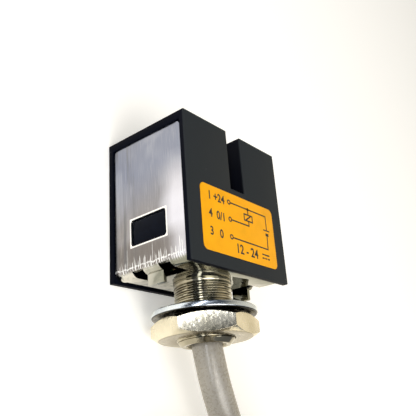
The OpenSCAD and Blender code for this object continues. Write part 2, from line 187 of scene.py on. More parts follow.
def stainless_sheet():
    """Bright stainless sheet: brushed along the arms, polished underneath, scored at the bends."""
    material, add, shader, place = new_material(
        "Brushed stainless steel", Metallic=1.0, Base_Color="#d9d9d8", Roughness=0.25)
    x, y, z = add("SeparateXYZ", place).node.outputs
    # Brush lines are some 0.05 mm apart: drawn at 0.15 mm, and long along the arms
    lines = add("Mapping", {"Vector": place, "Scale": (1, 0.03, 1)})
    brush = add("TexNoise", lines, 6500, 3)
    broad = add("TexNoise", lines, 900, 4)
    cloud = add("TexNoise", {"Vector": place, "Scale": 90, "Detail": 5, "Distortion": 0.6})
    # The press left scratches of uneven length, running up from both bends
    column = add("CombineXYZ", 0.0, 0.0, z)
    reach = add("TexNoise", column, 700, 6)
    comb = add("TexNoise", column, 3700, 2)
    height = add("Math SUBTRACT", y, BASE_Y * MM)
    limit = add("MapRange", reach, 0.38, 0.66, 0.0008, 0.0068)
    scored = add("Math MULTIPLY", add("MapRange", add("Math SUBTRACT", limit, height), 0, 0.0006),
                 add("MapRange", comb, 0.525, 0.55))
    # A broken crease runs along the top of the bend
    wander = add("Math ADD", height, add("MapRange", reach, 0.3, 0.7, -0.0003, 0.0003))
    off = add("Math ABSOLUTE", add("Math SUBTRACT", wander, 0.0021))
    crease = add("Math MULTIPLY", add("MapRange", off, 0.00022, 0.0001),
                 add("MapRange", comb, 0.44, 0.5, 0.0, 0.85))
    outer = add("MapRange", add("Math ABSOLUTE", x), 0.0146, 0.0151)
    scored = add("Math MULTIPLY", add("Math MAXIMUM", scored, crease), outer)
    under = add("MapRange", height, 0.0016, 0.0011)
    rough = add("Math ADD", add("MapRange", brush, 0.3, 0.7, 0.14, 0.24),
                add("MapRange", broad, 0.35, 0.65, -0.01, 0.04))
    rough = add("Mix FLOAT", under, rough, add("MapRange", cloud, 0.3, 0.7, 0.03, 0.08))
    # Painted reflection: the rolled skin is painted from grey to blue-grey towards the top, and
    # painted bright towards the label side
    across = add("Math ADD", z, add("Math MULTIPLY", cloud, 0.006))
    upward = add("Math ADD", height, add("Math MULTIPLY", cloud, 0.008))
    tone = add("Mix RGBA", add("MapRange", upward, 0.014, 0.026), "#949192", "#8a90a3")
    painted_bright_side = add("Math MULTIPLY", add("MapRange", across, 0.0165, 0.021),
                 add("MapRange", upward, 0.027, 0.017))
    # Painted sheen: lighter blue-grey clouds over the skin
    painted_sheen = add("TexNoise", {"Vector": place, "Scale": 70, "Detail": 2, "Distortion": 0.8})
    painted_sheen = add("MapRange", painted_sheen, 0.5, 0.66, 0.0, 0.35)
    # Painted reflection: the lower part of the plate, away from the label side, is painted darker
    painted_dark_lower = add("Math MULTIPLY", add("MapRange", height, 0.0085, 0.0055, 0.0, 0.85),
                  add("MapRange", z, 0.019, 0.016, 0.4, 1.0))
    streaks = add("Math MULTIPLY", add("MapRange", broad, 0.46, 0.58),
                  add("MapRange", across, 0.0115, 0.006, 0.0, 0.9))
    # Painted highlights: bright glints along the brush lines
    painted_glints = add("MapRange", brush, 0.54, 0.72, 0.0, 0.15)
    for share, code in ((painted_bright_side, "#e0e1ee"), (painted_sheen, "#c9ccd8"), (painted_dark_lower, "#75706e"),
                        (streaks, "#6e6e72"), (painted_glints, "#f2f2f6")):
        tone = add("Mix RGBA", share, tone, code)
    # Underneath, painted reflection: the mirror is painted darker towards the label side, with
    # painted darker bands
    bands = add("TexNoise", {"Vector": place, "Scale": 210, "Detail": 2, "Distortion": 1.6})
    painted_under_reflection = add("Mix RGBA", add("MapRange", across, 0.010, 0.017), "#d0cec6", "#85877b")
    painted_under_reflection = add("Mix RGBA", add("MapRange", bands, 0.42, 0.6, 0.0, 0.6), painted_under_reflection, "#75766b")
    tone = add("Mix RGBA", under, tone, painted_under_reflection)
    # Painted highlight: the rolled lip round the window is painted white
    ahead, above = (
        add("Math SUBTRACT", add("Math ABSOLUTE", add("Math SUBTRACT", way, mid * MM)), half * MM)
        for way, mid, half in ((z, AXIS_Z, WINDOW_HALF[1]), (y, WINDOW_Y, WINDOW_HALF[0])))
    painted_lip_highlight = add("Math MULTIPLY", add("MapRange", add("Math MAXIMUM", ahead, above), 0.00036, 0.00026),
              add("MapRange", x, -0.0143, -0.0145))
    tone = add("Mix RGBA", painted_lip_highlight, tone, "#ffffff")
    depth = add("Math ADD", add("Math MULTIPLY", broad, 0.25), add("Math MULTIPLY", cloud, 2.5))
    depth = add("Math ADD", add("Math MULTIPLY", brush, 0.25), depth)
    depth = add("Math MULTIPLY", depth, add("MapRange", under, 0.0, 1.0, 1.0, 0.35))
    feed(shader, {
        "Base Color": add("Mix RGBA", scored, tone, "#ffffff"),
        # The scores have torn the bright skin, so they scatter light instead of mirroring it
        "Metallic": add("MapRange", scored, 0.0, 1.0, 1.0, 0.3),
        "Roughness": add("Mix FLOAT", scored, rough, 0.35),
        "Normal": add("Bump", {"Height": depth, "Strength": 0.3, "Distance": 0.00002})})
    return material


def plated(name, code, other, roughness, grain, pitting=0.0, under=None):
    """Electroplated metal: bright, a little cloudy, with fine tool marks under the plating.

    Its lower face, up to a height y in mm, may be painted another, darker tone as painted shade:
    under=(height, code).
    """
    material, add, shader, place = new_material(name, Metallic=1.0, Base_Color=code,
                                                Roughness=roughness)
    cloud = add("TexNoise", place, 160, 5)
    marks = add("TexNoise", place, grain, 4)
    tone = add("Mix RGBA", add("MapRange", cloud, 0.35, 0.65), code, other)
    if under:
        y = add("SeparateXYZ", place).node.outputs["Y"]
        # Painted shade: the lower face is painted in the darker tone
        lower = add("MapRange", y, (under[0] + 0.1) * MM, under[0] * MM)
        tone = add("Mix RGBA", lower, tone, under[1])
    height = add("Math ADD", marks, add("Math MULTIPLY", cloud, 2.0))
    if pitting:
        # Pits of about 0.6 mm where the bar stock was left as drawn
        pits = add("TexVoronoi", place, 1700, feature="SMOOTH_F1")
        height = add("Math ADD", height, add("Math MULTIPLY", pits, pitting))
    feed(shader, {
        "Base Color": tone,
        "Roughness": add("MapRange", marks, 0.3, 0.7, 0.7 * roughness, 1.5 * roughness),
        "Normal": add("Bump", {"Height": height, "Strength": 0.3, "Distance": 0.00003})})
    return material


def smoked_window():
    """Smoked polycarbonate: nearly black, mirror smooth, with a few handling marks."""
    material, add, shader, place = new_material(
        "Smoked polycarbonate", Base_Color="#070a12", Roughness=0.08, IOR=1.585,
        Specular_IOR_Level=0.03)
    smear = add("TexNoise", place, 500, 5)
    feed(shader, {
        "Base Color": add("Mix RGBA", smear, "#04060d", "#0d1320"),
        "Roughness": add("MapRange", smear, 0.45, 0.75, 0.06, 0.22)})
    return material


def label_film():
    """Amber polyester film, printed on its face: even colour, fine orange peel, satin gloss."""
    base = colours().label
    material, add, shader, place = new_material(
        "Amber polyester film", Base_Color=base, Roughness=0.5, IOR=1.5, Specular_IOR_Level=0.2)
    cloud = add("MapRange", add("TexNoise", place, 300, 4), 0.3, 0.7)
    peel = add("TexNoise", place, 2600, 2)
    feed(shader, {
        "Base Color": add("Mix RGBA", cloud, shade(base, 0.93), shade(base, 1.05)),
        "Normal": add("Bump", {"Height": peel, "Strength": 0.08, "Distance": 0.00004})})
    return material


def plain_moulding(name, colour, roughness, grain=2500.0, **more):
    """A small moulded or cast part: one colour with a cloudy tone and a fine skin."""
    base = linear(colour)
    material, add, shader, place = new_material(name, Base_Color=base, Roughness=roughness, **more)
    cloud = add("MapRange", add("TexNoise", place, 400, 4), 0.3, 0.7)
    skin = add("TexNoise", place, grain, 3)
    feed(shader, {
        "Base Color": add("Mix RGBA", cloud, shade(base, 0.82), shade(base, 1.15)),
        "Roughness": add("MapRange", skin, 0.3, 0.7, 0.85 * roughness, min(1.0, 1.15 * roughness)),
        "Normal": add("Bump", {"Height": skin, "Strength": 0.15, "Distance": 0.00003})})
    return material


def pvc_jacket():
    """Grey flexible PVC, extruded: satin, with drawn lines along its length and a little grime."""
    base = colours().jacket
    material, add, shader, place = new_material(
        "Grey PVC jacket", Base_Color=base, Roughness=0.32, IOR=1.53, Specular_IOR_Level=0.7)
    # The map runs once round the jacket and in metres along it
    along = add("UVMap", uv_map="along")
    lines = add("TexNoise", add("Mapping", {"Vector": along, "Scale": (40, 14, 1)}), 1.0, 4)
    cloud = add("MapRange", add("TexNoise", place, 220, 6), 0.3, 0.7)
    skin = add("TexNoise", place, 1900, 2)
    tone = add("Mix RGBA", cloud, shade(base, 0.88), shade(base, 1.1))
    height = add("Math ADD", skin, add("Math MULTIPLY", lines, 0.8))
    feed(shader, {
        "Base Color": add("Mix RGBA", add("MapRange", lines, 0.45, 0.7, 0.0, 0.25), tone,
                          shade(base, 0.8)),
        "Roughness": add("MapRange", skin, 0.3, 0.7, 0.22, 0.36),
        "Normal": add("Bump", {"Height": height, "Strength": 0.3, "Distance": 0.00004})})
    return material


def studio_floor():
    """Seamless white paper: matt, with a faint tooth; the object mirrors the dim room's floor."""
    material, add, shader, place = new_material(
        "White paper", Base_Color="#f4f3f1", Roughness=0.9, Specular_IOR_Level=0.1,
        Emission_Strength=1.0)
    tooth = add("TexNoise", place, 900, 2)
    paper = add("Mix RGBA", tooth, "#f4f3f0", "#faf9f6")
    room = add("Mix RGBA", add("MapRange", add("SeparateXYZ", place), -0.12, 0.03),
               "#e9e9ea", "#f4ecd9")
    seen = add("LightPath")
    feed(shader, {
        "Base Color": add("Mix RGBA", seen, room, paper),
        "Emission Color": add("Mix RGBA", seen, (0.42, 0.41, 0.38), (0.3, 0.296, 0.28))})
    return material


# ---------------------------------------------------------------- mesh helpers

def colours():
    return bpy.context.scene.sensor_colours


def sizes():
    return bpy.context.scene.sensor_sizes


def linked(name, data):
    """Puts new data into the scene as an object at the origin."""
    made = bpy.data.objects.new(name, data)
    bpy.context.scene.collection.objects.link(made)
    return made


def mesh_piece(name, points, faces, material):
    """Makes an object at the origin from points in millimetres."""
    mesh = bpy.data.meshes.new(name)
    mesh.from_pydata([tuple(c * MM for c in p) for p in points], [], faces)
    mesh.validate()
    mesh.materials.append(material)
    mesh.shade_smooth()
    return linked(name, mesh)


def outward(piece):
    """Merges doubles, then points the faces of a closed mesh outwards."""
    work = bmesh.new()
    work.from_mesh(piece.data)
    bmesh.ops.remove_doubles(work, verts=work.verts, dist=1e-7)
    bmesh.ops.recalc_face_normals(work, faces=work.faces)
    work.to_mesh(piece.data)
    work.free()


def place_piece(piece, body, slot, *replaced):
    """Ties a finished piece to its body and hides the CAD nodes it stands for; the slot, for its
    finish, is not used.
    """
    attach(piece, body)
    if replaced:
        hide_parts(*replaced)
    return piece


def rounded(piece, radius, **settings):
    """Adds the modifier that rounds a piece's edges to a radius in millimetres."""
    edges = piece.modifiers.new("Edges", "BEVEL")
    edges.width, edges.segments, edges.harden_normals = radius * MM, 3, True
    for name, value in settings.items():
        setattr(edges, name, value)
    return piece


def softened(node, name, radius, material, body="sensor", pick=None):
    """A copy of a CAD node with its edges rounded; pick(midpoint in mm) gives each edge's share."""
    mesh = frame["nodes"][node].data.copy()
    mesh.name = name
    work = bmesh.new()
    work.from_mesh(mesh)
    bmesh.ops.remove_doubles(work, verts=work.verts, dist=2e-6)
    bmesh.ops.dissolve_limit(work, angle_limit=math.radians(0.5), verts=work.verts,
                             edges=work.edges)
    weight = work.edges.layers.float.new("bevel_weight_edge")
    for edge in work.edges:
        if len(edge.link_faces) == 2 and edge.calc_face_angle(0) > math.radians(20):
            middle = (edge.verts[0].co + edge.verts[1].co) / 2 / MM
            edge[weight] = pick(middle) if pick else 1.0
    work.to_mesh(mesh)
    work.free()
    mesh.materials.clear()
    mesh.materials.append(material)
    mesh.shade_smooth()
    piece = rounded(linked(name, mesh), radius, limit_method="WEIGHT", miter_outer="MITER_ARC")
    slot = next(s["material_slot"] for s in frame["record"]["subparts"] if s["node"] == node)
    return place_piece(piece, body, slot, node)


def refinish(node, material):
    """Gives a CAD node, as it is, its finish."""
    frame["nodes"][node].material_slots[0].material = material


def catmull(points, steps=6):
    """A smooth line through points."""
    line = [Vector(p) for p in points]
    line = [2 * line[0] - line[1], *line, 2 * line[-1] - line[-2]]
    made = []
    for a, b, c, d in zip(line, line[1:], line[2:], line[3:]):
        for k in range(steps):
            t = k / steps
            made.append(0.5 * (2 * b + (c - a) * t + (2 * a - 5 * b + 4 * c - d) * t * t
                               + (3 * b - a - 3 * c + d) * t ** 3))
    return made + [line[-2]]


def even(points, step):
    """The same line with points an equal distance apart."""
    gaps = [(b - a).length for a, b in zip(points, points[1:])]
    count = max(2, round(sum(gaps) / step))
    wanted, made, run, i = sum(gaps) / count, [points[0].copy()], 0.0, 0
    for k in range(1, count):
        while run + gaps[i] < k * wanted:
            run += gaps[i]
            i += 1
        made.append(points[i].lerp(points[i + 1], (k * wanted - run) / gaps[i]))
    return made + [points[-1].copy()]


def eased(points, reach):
    """Each point averaged with its neighbours, which rounds off small kinks."""
    made = []
    for i in range(len(points)):
        k = min(reach, i, len(points) - 1 - i)
        near = points[i - k:i + k + 1]
        made.append(sum(near, Vector()) / len(near))
    return made


def frames_along(points):
    """Two cross axes at each point, carried along the line without twisting."""
    headings = [(points[min(i + 1, len(points) - 1)] - points[max(i - 1, 0)]).normalized()
                for i in range(len(points))]
    side = headings[0].cross(Vector((0, 0, 1))).normalized()
    axes = []
    for heading in headings:
        side = (side - heading * side.dot(heading)).normalized()
        axes.append((side, side.cross(heading)))
    return axes


def quads(rings, count, closed):
    """The faces between rings of count points each; closed joins the last ring to the first."""
    return [[i * count + k, (i + 1) % rings * count + k, (i + 1) % rings * count + (k + 1) % count,
             i * count + (k + 1) % count]
            for i in range(rings if closed else rings - 1) for k in range(count)]


def swept(name, points, radius, sides, material):
    """Sweeps a circle along a line and caps its ends, with a map along its length."""
    outline = circle(radius, sides)
    verts = [p + s * a + u * b for p, (a, b) in zip(points, frames_along(points))
             for s, u in outline]
    faces = quads(len(points), sides, False)
    faces += [list(range(sides)), [(len(points) - 1) * sides + k for k in reversed(range(sides))]]
    piece = mesh_piece(name, verts, faces, material)
    run = [0.0]
    for a, b in zip(points, points[1:]):
        run.append(run[-1] + (b - a).length * MM)
    layer = piece.data.uv_layers.new(name="along")
    for face in piece.data.polygons:
        around = [piece.data.loops[l].vertex_index % sides for l in face.loop_indices]
        wraps = 0 in around and sides - 1 in around and len(around) == 4
        for l, k in zip(face.loop_indices, around):
            turn = 1.0 if wraps and k == 0 else k / sides
            layer.data[l].uv = (turn, run[piece.data.loops[l].vertex_index // sides])
    outward(piece)
    return piece


def circle(radius, sides, x=0.0, y=0.0):
    """Points round a circle."""
    return [(x + radius * math.cos(TURN * k / sides), y + radius * math.sin(TURN * k / sides))
            for k in range(sides)]


def settled(made, transform=None):
    """The plain mesh that an object's modifiers or outlines come to."""
    graph = bpy.context.evaluated_depsgraph_get()
    graph.update()
    mesh = bpy.data.meshes.new_from_object(made.evaluated_get(graph), depsgraph=graph)
    if transform:
        mesh.transform(transform)
    return mesh


def from_nodes(piece, tree, values):
    """Runs a geometry tree on a piece and keeps the result as its plain mesh."""
    modifier = piece.modifiers.new(tree.name, "NODES")
    modifier.node_group = tree
    for item in tree.interface.items_tree:
        if item.in_out == "INPUT" and item.name in values:
            modifier[item.identifier] = values[item.name]
    mesh = settled(piece)
    piece.modifiers.remove(modifier)
    old = piece.data
    piece.data = mesh
    mesh.name = piece.name
    bpy.data.meshes.remove(old)


def new_tree(name, **numbers):
    """A geometry tree with a mesh in and out, named numbers and a material."""
    tree = bpy.data.node_groups.new(name, "GeometryNodeTree")
    face = tree.interface
    face.new_socket("Geometry", in_out="INPUT", socket_type="NodeSocketGeometry")
    for label, default in numbers.items():
        kind = "NodeSocketInt" if isinstance(default, int) else "NodeSocketFloat"
        face.new_socket(label, in_out="INPUT", socket_type=kind).default_value = default
    face.new_socket("Material", in_out="INPUT", socket_type="NodeSocketMaterial")
    face.new_socket("Geometry", in_out="OUTPUT", socket_type="NodeSocketGeometry")
    add = adder(tree)
    return tree, add, add("NodeGroupInput").node.outputs


def end_tree(add, given, shape):
    """Ends a geometry tree with a plain mesh in the material it was given."""
    shape = add("GeometryNodeRealizeInstances", {"Geometry": shape})
    shape = add("GeometryNodeSetMaterial", {"Geometry": shape, "Material": given["Material"]})
    add("NodeGroupOutput", {"Geometry": shape})


# ---------------------------------------------------------------- settings

class SensorColours(bpy.types.PropertyGroup):
    """Colours that a user would change."""
    housing: FloatVectorProperty(name="Housing", description="Moulded housing", subtype="COLOR",
                                 min=0, max=1, default=linear("#080b15"))
    label: FloatVectorProperty(name="Label", description="Ground colour of the label",
                               subtype="COLOR", min=0, max=1, default=linear("#f8ab00"))
    ink: FloatVectorProperty(name="Ink", description="Print on the label", subtype="COLOR",
                             min=0, max=1, default=linear("#1c150c"))
    jacket: FloatVectorProperty(name="Jacket", description="Cable jacket", subtype="COLOR",
                                min=0, max=1, default=linear("#938e84"))


class SensorSizes(bpy.types.PropertyGroup):
    """Sizes that a user would change, in millimetres."""
    edge: FloatProperty(name="Housing edge", description="Radius of the housing's edges in mm",
                        default=0.22, min=0.05, max=0.5)
    thread_pitch: FloatProperty(name="Thread pitch", description="Pitch of the stem's thread in mm",
                                default=1.0, min=0.75, max=1.5)
    thread_depth: FloatProperty(name="Thread depth", description="Depth of the stem's thread in mm",
                                default=0.42, min=0.3, max=0.8)
    stroke: FloatProperty(name="Stroke", description="Width of the label's printed lines in mm",
                          default=0.3, min=0.1, max=0.5)
    jacket_sides: IntProperty(name="Jacket sides", description="Sides of the cable's mesh",
                              default=24, min=12, max=48)
    tie_width: FloatProperty(name="Tie width", description="Width of the cable ties in mm",
                             default=3.6, min=2.5, max=4.8)


# ---------------------------------------------------------------- stage

# Each lamp: place, aim, size, power in watts and tint
LAMPS = {
    "key light": ((-160, -330, 440), (0, 0, 8), (320, 320), 1.3, "#fffaf2"),
    "strip light": ((-412, 60, 275), (0, 0, 11), (900, 100), 1.45, "#f5f8ff"),
    "panel light": ((-310, 125, 385), (0, 0, 11), (300, 110), 0.045, "#f5f8ff"),
    "overhead light": ((-40, -340, 480), (0, 0, 0), (500, 400), 1.1, "#fffdfa"),
}
CAMERA_PLACE, CAMERA_AIM, CAMERA_ROLL = (-89.51, -39.55, 86.01), (3.74, 8.94, 11.0), 68.94
FLOOR_HALF, FLOOR_Z = 1500, -0.02


class SENSOR_OT_stage(bpy.types.Operator):
    """Add the camera, the white floor and the soft studio light"""
    bl_idname = "sensor.stage"
    bl_label = "Stage"

    def execute(self, context):
        scene = context.scene
        lens = bpy.data.cameras.new("camera")
        lens.lens, lens.sensor_width, lens.clip_start = 50.0, 36.0, 0.005
        scene.camera = self.stand("camera", lens, CAMERA_PLACE, CAMERA_AIM, CAMERA_ROLL)

        corners = [(x * FLOOR_HALF, y * FLOOR_HALF, FLOOR_Z)
                   for x, y in ((-1, -1), (1, -1), (1, 1), (-1, 1))]
        mesh_piece("floor", corners, [[0, 1, 2, 3]], studio_floor())

        for name, (place, target, extent, power, tint) in LAMPS.items():
            lamp = bpy.data.lights.new(name, "AREA")
            lamp.shape = "RECTANGLE"
            lamp.size, lamp.size_y = extent[0] * MM, extent[1] * MM
            lamp.energy, lamp.color = power, linear(tint)
            self.stand(name, lamp, place, target)

        world = bpy.data.worlds.new("studio")
        world.use_nodes = True
        scene.world = world
        world.node_tree.nodes.clear()
        add = adder(world.node_tree)
        x, y, _ = add("SeparateXYZ", add("TexCoord").node.outputs["Generated"]).node.outputs
        side = add("Mix RGBA", add("MapRange", x, -0.1, 0.6), "#3f444c", "#fff3da")
        room = add("Mix RGBA", add("MapRange", y, -0.05, -0.4), side, "#8f9296")
        # The camera sees a plain pale backdrop, and the object mirrors the room
        glow = add("Mix RGBA", add("LightPath"), room, "#fbfaf8")
        add("OutputWorld", add("Background", {"Color": glow, "Strength": 1.0}))
        scene.view_settings.view_transform = "Standard"
        return {"FINISHED"}

    def stand(self, name, data, place, target, roll=0.0):
        """Stands a camera or lamp at a place, aimed at a target and rolled by an angle."""
        made = linked(name, data)
        place, target = Vector(place) * MM, Vector(target) * MM
        turn = (target - place).to_track_quat("-Z", "Y")
        turn = turn @ Quaternion((0, 0, 1), math.radians(roll))
        made.matrix_world = Matrix.Translation(place) @ turn.to_matrix().to_4x4()
        return made


# ---------------------------------------------------------------- cable

def lift(y):
    """How far the turns rise over a tie's strap."""
    away = max(0.0, abs(y - TIE_Y) - LIFT_FLAT)
    return TIE_THICK * (0.5 + 0.5 * math.cos(math.pi * min(1.0, away / LIFT_RAMP)))


def wound_turns(along=16, round_end=32):
    """Centre line of the hank: each turn steps to its next place across the near loop."""
    line = []
    for turn, (radius, layer) in enumerate(WINDING):
        height = CABLE_R + LAYER * layer
        runs = [HANK_NEAR + (HANK_FAR - HANK_NEAR) * k / along for k in range(along)]
        line += [Vector((radius, y, height + lift(y))) for y in runs]
        for k in range(round_end):
            a = -math.pi * k / round_end
            line.append(Vector((radius * math.cos(a), HANK_FAR + radius * math.sin(a), height)))
        if turn == len(WINDING) - 1:
            line.append(Vector((-radius, HANK_FAR, height)))
            break
        line += [Vector((-radius, y, height + lift(y))) for y in [HANK_FAR] + runs[:0:-1]]
        after, above = WINDING[turn + 1]
        swell = 0.0 if above == layer else (STEP_SWELL if radius == TURN_OUT else -STEP_SWELL)
        for k in range(round_end):
            s = k / round_end
            e = s * s * (3 - 2 * s)
            r = radius + (after - radius) * e + swell * math.sin(math.pi * s)
            a = math.pi * (1 - s)
            line.append(Vector((r * math.cos(a), HANK_NEAR + r * math.sin(a),
                                height + LAYER * (above - layer) * e)))
    return line


class SENSOR_OT_cable(bpy.types.Operator):
    """Lay the two-metre cable from the stem to its hank"""
    bl_idname = "sensor.cable"
    bl_label = "Cable"

    def execute(self, context):
        line = eased(even(catmull(CABLE_ROUTE) + wound_turns(), CABLE_STEP), 3)
        cable = swept("cable_jacket", line, CABLE_R, sizes().jacket_sides, pvc_jacket())
        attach(cable, "sensor")
        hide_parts("cable", "cable_hank")
        # The jacket inside the stem has no map of its own
        refinish("cable_entry", plain_moulding("Grey PVC inside the stem", colours().jacket,
                                               0.42, IOR=1.53))
        return {"FINISHED"}


def lead_line(k):
    """One flying lead, k places from the middle one: out of the jacket and along the hank."""
    # How far it has fanned out, its way from the jacket's end, and its height
    steps = [(0, 0, 28), (0, 0.8, 28), (0.3, 3, 27.7), (0.8, 7, 26.4), (1, 11, LEAD_BED),
             (1, 20, LEAD_BED), (1, 32, LEAD_BED)]
    line = [(k * (0.8 + (LEAD_PITCH - 0.8) * s) - TURN_IN, HANK_FAR + y,
             z + (1 - s) * (abs(k) * 1.2 - 0.8)) for s, y, z in steps]
    return [Vector((p.x, p.y, p.z + lift(p.y) * min(1.0, (p.y - HANK_FAR) / LIFT_RAMP)))
            for p in catmull(line, 8)]


class SENSOR_OT_leads(bpy.types.Operator):
    """Strip the cable's far end into three leads with twisted, tinned tips"""
    bl_idname = "sensor.leads"
    bl_label = "Flying leads"

    def execute(self, context):
        tin = plated("Tinned copper strand", "#cfcfcd", "#b3b2ae", 0.3, 4000)
        tips = []
        for k, colour, code in ((-1, "brown", "#6b3a20"), (0, "black", "#17181a"),
                                (1, "blue", "#23509e")):
            line = lead_line(k)
            skin = plain_moulding(f"PVC core {colour}", code, 0.38, IOR=1.53)
            lead = swept(f"lead_{colour}_skin", line, LEAD_R, 16, skin)
            place_piece(lead, "sensor", f"core_{colour}", f"lead_{colour}")
            tips.append(line[-1])
        strands = mesh_piece("lead_strands", tips, [], tin)
        from_nodes(strands, twisted_strands(), {"Length": 5 * MM, "Material": tin})
        place_piece(strands, "sensor", "tinned", "lead_ends")
        return {"FINISHED"}


def twisted_strands():
    """Geometry tree: a twisted bundle of wires along +Y at each point it is given."""
    tree, add, given = new_tree("Twisted strands", Strands=7, Length=0.005, Bundle=0.00028,
                                Wire=0.00015, Twist=5.0)
    end = add("CombineXYZ", {"Y": given["Length"]})
    line = add("GeometryNodeCurvePrimitiveLine", {"End": end})
    line = add("GeometryNodeResampleCurve", {"Curve": line, "Count": 24})
    angle = add("Math MULTIPLY", add("GeometryNodeSplineParameter"), given["Twist"])
    offset = add("CombineXYZ", {"X": add("Math COSINE", angle), "Z": add("Math SINE", angle)})
    offset = add("VectorMath SCALE", {0: offset, "Scale": given["Bundle"]})
    line = add("GeometryNodeSetPosition", {"Geometry": line, "Offset": offset})
    ring = add("GeometryNodeCurvePrimitiveCircle", {"Resolution": 8, "Radius": given["Wire"]})
    wire = add("GeometryNodeCurveToMesh", {"Curve": line, "Profile Curve": ring,
                                           "Fill Caps": True})
    places = add("GeometryNodeMeshLine", {"Count": given["Strands"], "Offset": (0, 0, 0)})
    part = add("Math DIVIDE", add("GeometryNodeInputIndex"), given["Strands"])
    spin = add("CombineXYZ", {"Y": add("Math MULTIPLY", part, TURN)})
    bundle = add("GeometryNodeInstanceOnPoints", {"Points": places, "Instance": wire,
                                                  "Rotation": spin})
    bundle = add("GeometryNodeRealizeInstances", {"Geometry": bundle})
    tips = add("GeometryNodeInstanceOnPoints", {"Points": given["Geometry"], "Instance": bundle})
    tips = add("GeometryNodeRealizeInstances", {"Geometry": tips})
    end_tree(add, given, add("GeometryNodeSetShadeSmooth", {"Geometry": tips}))
    return tree


def taut_band(circles, gap):
    """The line a tight strap takes round circles (x, z, radius): their convex outline."""
    cloud = sorted({(round(x, 4), round(z, 4)) for cx, cz, r in circles
                    for x, z in circle(r + gap, 60, cx, cz)})

    def chain(points):
        made = []
        for p in points:
            while len(made) > 1 and ((made[-1][0] - made[-2][0]) * (p[1] - made[-2][1])
                                     - (made[-1][1] - made[-2][1]) * (p[0] - made[-2][0])) <= 0:
                made.pop()
            made.append(p)
        return made[:-1]
    return chain(cloud) + chain(cloud[::-1])


def rib_row():
    """Geometry tree: a small rib across the strap at each point of a line it is given."""
    tree, add, given = new_tree("Tie ribs", Width=0.0022, Thickness=0.0003, Height=0.0003,
                                Step=0.001)
    line = add("GeometryNodeMeshToCurve", {"Mesh": given["Geometry"]})
    points = add("GeometryNodeCurveToPoints", {"Curve": line, "Length": given["Step"]},
                 mode="LENGTH")
    rib = add("GeometryNodeMeshCube", {
        "Size": add("CombineXYZ", given["Height"], given["Width"], given["Thickness"])})
    turn = add("FunctionNodeAlignRotationToVector", {"Vector": points.node.outputs["Tangent"]},
               axis="Z", pivot_axis="Y")
    end_tree(add, given, add("GeometryNodeInstanceOnPoints", {"Points": points, "Instance": rib,
                                                              "Rotation": turn}))
    return tree


class SENSOR_OT_ties(bpy.types.Operator):
    """Bind each side of the hank with a nylon tie"""
    bl_idname = "sensor.ties"
    bl_label = "Cable ties"

    def execute(self, context):
        nylon = plain_moulding("Black nylon", "#161718", 0.36, IOR=1.53)
        tree = rib_row()
        straps, others = [], ([], [])
        for side, name in ((-1, "left"), (1, "right")):
            rings = [(side * radius, CABLE_R + LAYER * layer + TIE_THICK, CABLE_R)
                     for radius, layer in WINDING if side > 0 or (radius, layer) != (TURN_IN, 4)]
            if side < 0:
                rings += [(-TURN_IN + k * LEAD_PITCH, LEAD_BED + TIE_THICK, LEAD_R)
                          for k in (-1, 0, 1)]
            loop = [Vector((x, TIE_Y, z)) for x, z in taut_band(rings, 0.4)]
            loop = even(loop + [loop[0]], 0.7)[:-1]
            middle = sum(loop, Vector()) / len(loop)
            straps.append(self.strap(name, loop, middle, nylon))
            row = bpy.data.meshes.new(f"tie_ribs_{name}")
            row.from_pydata([(p + 0.3 * (p - middle).normalized()) * MM for p in loop],
                            [(i, (i + 1) % len(loop)) for i in range(len(loop))], [])
            ribs = linked(f"tie_ribs_{name}", row)
            from_nodes(ribs, tree, {"Width": 0.6 * sizes().tie_width * MM, "Material": nylon})
            others[0].append(ribs)
            others[1].append(self.head(side, name, nylon))
        for piece in others[0] + others[1]:
            place_piece(piece, "sensor", "tie")
        for piece in straps:
            place_piece(piece, "sensor", "tie", "hank_ties")
        return {"FINISHED"}

    def strap(self, name, loop, middle, nylon):
        """The band: two raised edges with a channel between them, carried round the loop."""
        half = sizes().tie_width / 2
        outline = [(-half, -0.4), (half, -0.4), (half, 0.25), (0.7 * half, 0.4),
                   (0.62 * half, 0.28), (-0.62 * half, 0.28), (-0.7 * half, 0.4), (-half, 0.25)]
        verts = []
        for i, p in enumerate(loop):
            ahead = (loop[(i + 1) % len(loop)] - loop[i - 1]).normalized()
            out = Vector((ahead.z, 0, -ahead.x))
            out *= 1 if out.dot(p - middle) > 0 else -1
            verts += [p + Vector((0, s, 0)) + u * out for s, u in outline]
        band = mesh_piece(f"tie_strap_{name}", verts, quads(len(loop), len(outline), True), nylon)
        band.data.shade_flat()
        outward(band)
        return band

    def head(self, side, name, nylon):
        """The locking head: a block with a slot, from which the cut tail stands out."""
        low = 2 * CABLE_R + 4 * LAYER + TIE_THICK
        work = bmesh.new()
        middle = Vector((side * (TURN_OUT - 1), TIE_Y, (low + TIE_TOP) / 2))
        for extent, shift in (((5.0, 4.6, TIE_TOP - low), 0.0), ((1.1, 3.4, 1.0), 3.0)):
            for v in bmesh.ops.create_cube(work, size=1.0)["verts"]:
                v.co = Vector([c * e for c, e in zip(v.co, extent)])
                v.co = (v.co + Vector((shift * side, 0, 0)) + middle) * MM
        for face in [f for f in work.faces if f.normal.z > 0.9 and f.calc_area() > 1e-5]:
            bmesh.ops.inset_individual(work, faces=[face], thickness=1.1 * MM, depth=0)
            bmesh.ops.translate(work, verts=face.verts, vec=(0, 0, -0.9 * MM))
        mesh = bpy.data.meshes.new(f"tie_head_{name}")
        work.to_mesh(mesh)
        work.free()
        mesh.materials.append(nylon)
        mesh.shade_smooth()
        return rounded(linked(f"tie_head_{name}", mesh), 0.3)


# ---------------------------------------------------------------- body of the sensor

class SENSOR_OT_housing(bpy.types.Operator):
    """Finish the moulded housing with its softened edges"""
    bl_idname = "sensor.housing"
    bl_label = "Housing"

    def execute(self, context):
        softened("housing", "housing_moulding", sizes().edge, moulded_abs())
        return {"FINISHED"}


